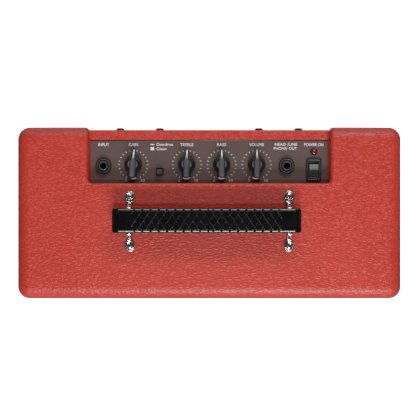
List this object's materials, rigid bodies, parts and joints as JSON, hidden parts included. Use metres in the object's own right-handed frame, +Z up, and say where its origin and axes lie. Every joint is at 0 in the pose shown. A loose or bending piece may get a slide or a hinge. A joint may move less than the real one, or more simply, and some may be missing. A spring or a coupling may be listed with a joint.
{
  "type": "guitar amplifier",
  "caption": "Small combo guitar amplifier: vinyl-covered box with a recessed control panel at the back of its top, pointer knobs, a lifting strap handle and one loudspeaker.",
  "frame": {"origin": "on the floor under the middle of the cabinet", "axes": "+X to the right seen from the front, +Y towards the back, +Z up"},
  "size_m": [0.38, 0.1701, 0.2805],
  "materials": {
    "red_vinyl": "grained vinyl, satin",
    "plywood": "raw plywood",
    "black_screw": "black zinc, satin",
    "plain_screw": "zinc plated",
    "handle_chrome": "polished chrome",
    "soft_rubber": "matt black rubber",
    "grille_cloth": "woven grille cloth",
    "piping_vinyl": "satin cream piping",
    "plated_steel": "zinc plated sheet",
    "panel_paint": "dark satin paint with pale print",
    "core_steel": "dull steel",
    "winding_tape": "amber tape",
    "jack_plastic": "black moulding",
    "switch_plastic": "black moulding",
    "button_plastic": "dark moulding",
    "rocker_plastic": "black moulding, satin",
    "lamp_lens": "clear red lens",
    "circuit_board": "green solder mask",
    "capacitor_can": "sleeved can",
    "heat_sink_aluminium": "black anodised",
    "chip_plastic": "moulded epoxy",
    "basket_steel": "black paint",
    "magnet_ferrite": "sintered ferrite",
    "voice_coil_wire": "enamelled copper wire",
    "cone_paper": "pressed paper",
    "surround_cloth": "doped cloth",
    "spider_cloth": "treated yellow cloth",
    "terminal_board": "fibre board with plated lugs",
    "lead_sleeve": "insulated wire",
    "handle_plastic": "moulded flexible black vinyl",
    "knob_plastic": "satin black moulding with a white pointer",
    "shaft_metal": "machined"
  },
  "bodies": {
    "cabinet": {"amplifier_chip": "chip_plastic", "back_battens": "plywood", "back_panel": "plywood", "back_panel_covering": "red_vinyl", "back_panel_screws": "black_screw", "bottom_board": "plywood", "channel_switch_body": "switch_plastic", "chassis_and_transformer_screws": "plain_screw", "chassis_tray": "plated_steel", "circuit_board": "circuit_board", "control_panel": "panel_paint", "filter_capacitors": "capacitor_can", "foot_screws": "plain_screw", "front_baffle": "plywood", "grille_cloth": "grille_cloth", "grille_piping": "piping_vinyl", "handle_brackets": "handle_chrome", "handle_screws": "handle_chrome", "heat_sink": "heat_sink_aluminium", "input_jack": "jack_plastic", "jack_nuts": "jack_plastic", "left_side_board": "plywood", "mains_gland": "soft_rubber", "phones_jack": "jack_plastic", "pot_bodies": "plated_steel", "pot_nuts": "plated_steel", "power_led": "lamp_lens", "power_switch_housing": "switch_plastic", "right_side_board": "plywood", "rubber_feet": "soft_rubber", "speaker_back_plate": "core_steel", "speaker_basket": "basket_steel", "speaker_cone": "cone_paper", "speaker_dust_cap": "cone_paper", "speaker_leads": "lead_sleeve", "speaker_magnet": "magnet_ferrite", "speaker_screws": "black_screw", "speaker_spider": "spider_cloth", "speaker_surround": "surround_cloth", "speaker_terminals": "terminal_board", "speaker_top_plate": "core_steel", "speaker_voice_coil": "voice_coil_wire", "top_board": "plywood", "transformer_core": "core_steel", "transformer_frame": "plated_steel", "transformer_windings": "winding_tape", "vinyl_covering": "red_vinyl"},
    "gain_control": {"gain_knob": "knob_plastic", "gain_shaft": "shaft_metal"},
    "treble_control": {"treble_knob": "knob_plastic", "treble_shaft": "shaft_metal"},
    "bass_control": {"bass_knob": "knob_plastic", "bass_shaft": "shaft_metal"},
    "volume_control": {"volume_knob": "knob_plastic", "volume_shaft": "shaft_metal"},
    "channel_button": {"channel_button": "button_plastic"},
    "power_rocker": {"power_rocker": "rocker_plastic"},
    "handle_grip": {"handle_grip": "handle_plastic"},
    "strap_left": {"strap_left": "handle_plastic"},
    "strap_right": {"strap_right": "handle_plastic"}
  },
  "joints": [
    {"name": "gain_turn", "type": "hinge", "parent": "cabinet", "child": "gain_control", "pos_m": [-0.0758, 0.0481, 0.244], "axis": [0, 0, 1], "range_deg": [-150, 150]},
    {"name": "treble_turn", "type": "hinge", "parent": "cabinet", "child": "treble_control", "pos_m": [-0.0225, 0.0481, 0.244], "axis": [0, 0, 1], "range_deg": [-150, 150]},
    {"name": "bass_turn", "type": "hinge", "parent": "cabinet", "child": "bass_control", "pos_m": [0.0123, 0.0481, 0.244], "axis": [0, 0, 1], "range_deg": [-150, 150]},
    {"name": "volume_turn", "type": "hinge", "parent": "cabinet", "child": "volume_control", "pos_m": [0.0472, 0.0481, 0.244], "axis": [0, 0, 1], "range_deg": [-150, 150]},
    {"name": "channel_press", "type": "slide", "parent": "cabinet", "child": "channel_button", "axis": [0, 0, -1], "range_m": [0, 0.002], "stiffness_N_per_m": 600, "springref_m": -0.0008},
    {"name": "power_rock", "type": "hinge", "parent": "cabinet", "child": "power_rocker", "pos_m": [0.1042, 0.0431, 0.2445], "axis": [-1, 0, 0], "range_deg": [0, 22]},
    {"name": "handle_lift", "type": "slide", "parent": "cabinet", "child": "handle_grip", "axis": [0, 0, 1], "range_m": [0, 0.02]},
    {"name": "strap_left_fold", "type": "hinge", "parent": "handle_grip", "child": "strap_left", "pos_m": [-0.022, -0.0072, 0.2725], "axis": [0, -1, 0], "range_deg": [0, 19.7]},
    {"name": "strap_right_fold", "type": "hinge", "parent": "handle_grip", "child": "strap_right", "pos_m": [0.022, -0.0072, 0.2725], "axis": [0, 1, 0], "range_deg": [0, 19.7]}
  ],
  "couplings": [
    {"joint": "strap_left_fold", "follows": "handle_lift", "rad_per_m": 17.19},
    {"joint": "strap_right_fold", "follows": "handle_lift", "rad_per_m": 17.19}
  ]
}
